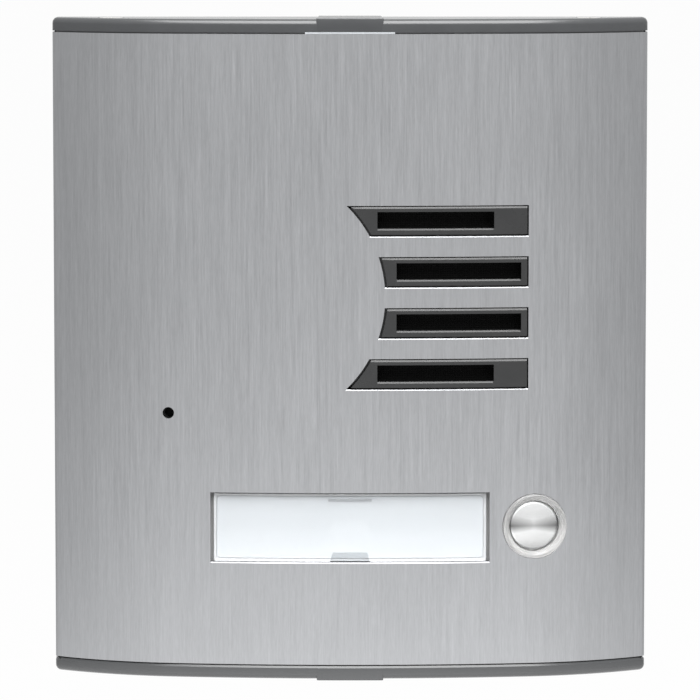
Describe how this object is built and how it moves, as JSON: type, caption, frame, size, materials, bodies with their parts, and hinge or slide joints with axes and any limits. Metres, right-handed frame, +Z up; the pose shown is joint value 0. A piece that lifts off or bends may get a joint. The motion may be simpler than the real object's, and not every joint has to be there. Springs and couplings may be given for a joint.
{
  "type": "door entry intercom panel",
  "caption": "Wall-mounted door intercom with a bowed brushed aluminium front, speaker grille, microphone, name window and a chromed call button.",
  "frame": {"origin": "centre of the wall plane, the back of the steel wall frame, midway between its four screw holes", "axes": "+Z up, +X to the right for a visitor, +Y into the wall, so the front faces -Y"},
  "size_m": [0.125, 0.0403, 0.1392],
  "materials": {
    "wall_frame": "zinc plated",
    "lock_bracket": "zinc plated",
    "front_panel": "vertically brushed, anodised",
    "top_cap": "moulded dark grey",
    "bottom_cap": "moulded dark grey",
    "cap_screws": "zinc plated",
    "wall_gasket": "closed-cell foam",
    "chassis": "moulded black",
    "grille": "moulded dark grey",
    "grille_cloth": "black acoustic cloth",
    "speaker_gasket": "foam",
    "speaker_basket": "black",
    "speaker_cone": "mylar film",
    "speaker_dust_cap": "mylar film",
    "voice_coil": "copper wire",
    "speaker_magnet": "ferrite",
    "speaker_top_plate": "steel",
    "speaker_pot": "zinc plated",
    "mic_boot": "moulded rubber",
    "microphone": "drawn can",
    "name_lens": "clear moulded plastic",
    "name_card": "blank white card",
    "name_tray": "translucent white",
    "name_lights": "lamp lens",
    "light_board": "circuit board",
    "button_ring": "clear moulded plastic",
    "call_button": "bright chromed",
    "button_plunger": "moulded black",
    "button_spring": "spring wire",
    "button_housing": "moulded black",
    "call_switch": "moulded black",
    "switch_actuator": "moulded red",
    "button_board": "circuit board",
    "lock_screw": "stainless",
    "rear_cover": "moulded black",
    "cover_screws": "zinc plated",
    "main_board": "circuit board",
    "terminal_block": "moulded green",
    "terminal_clamps": "brass",
    "terminal_screws": "zinc plated",
    "trimmer_bodies": "moulded blue",
    "speaker_volume_rotor": "moulded white",
    "mic_volume_rotor": "moulded white",
    "capacitors": "sleeved can",
    "line_transformer": "laminated core and bobbin",
    "amplifier_chip": "moulded black",
    "link_header": "moulded black"
  },
  "bodies": {
    "wall_frame": {"wall_frame": "wall_frame", "lock_bracket": "lock_bracket"},
    "panel": {"front_panel": "front_panel", "top_cap": "top_cap", "bottom_cap": "bottom_cap", "cap_screws": "cap_screws", "wall_gasket": "wall_gasket", "chassis": "chassis", "grille": "grille", "grille_cloth": "grille_cloth", "speaker_gasket": "speaker_gasket", "speaker_basket": "speaker_basket", "speaker_cone": "speaker_cone", "speaker_dust_cap": "speaker_dust_cap", "voice_coil": "voice_coil", "speaker_magnet": "speaker_magnet", "speaker_top_plate": "speaker_top_plate", "speaker_pot": "speaker_pot", "mic_boot": "mic_boot", "microphone": "microphone", "name_card": "name_card", "name_tray": "name_tray", "name_lights": "name_lights", "light_board": "light_board", "button_ring": "button_ring", "button_spring": "button_spring", "button_housing": "button_housing", "call_switch": "call_switch", "button_board": "button_board", "rear_cover": "rear_cover", "cover_screws": "cover_screws", "main_board": "main_board", "terminal_block": "terminal_block", "terminal_clamps": "terminal_clamps", "terminal_screws": "terminal_screws", "trimmer_bodies": "trimmer_bodies", "capacitors": "capacitors", "line_transformer": "line_transformer", "amplifier_chip": "amplifier_chip", "link_header": "link_header"},
    "call_button": {"call_button": "call_button", "button_plunger": "button_plunger", "switch_actuator": "switch_actuator"},
    "name_lens": {"name_lens": "name_lens"},
    "lock_screw": {"lock_screw": "lock_screw"},
    "speaker_volume_rotor": {"speaker_volume_rotor": "speaker_volume_rotor"},
    "mic_volume_rotor": {"mic_volume_rotor": "mic_volume_rotor"}
  },
  "joints": [
    {"name": "panel_release", "type": "slide", "parent": "wall_frame", "child": "panel", "axis": [0, -1, 0], "range_m": [0, 0.04]},
    {"name": "call_button_press", "type": "slide", "parent": "panel", "child": "call_button", "axis": [-0.1623, 0.9867, 0], "range_m": [0, 0.0009], "stiffness_N_per_m": 900, "springref_m": -0.0015, "deforming": ["button_spring"]},
    {"name": "name_lens_tilt", "type": "hinge", "parent": "panel", "child": "name_lens", "pos_m": [0, -0.0161, -0.03005], "axis": [-1, 0, 0], "range_deg": [0, 35]},
    {"name": "lock_screw_drive", "type": "slide", "parent": "panel", "child": "lock_screw", "axis": [0, 0, 1], "range_m": [0, 0.003]},
    {"name": "speaker_volume_turn", "type": "hinge", "parent": "panel", "child": "speaker_volume_rotor", "pos_m": [-0.011, 0.0154, -0.015], "axis": [0, 1, 0], "range_deg": [-135, 135]},
    {"name": "mic_volume_turn", "type": "hinge", "parent": "panel", "child": "mic_volume_rotor", "pos_m": [0.011, 0.0154, -0.015], "axis": [0, 1, 0], "range_deg": [-135, 135]}
  ]
}
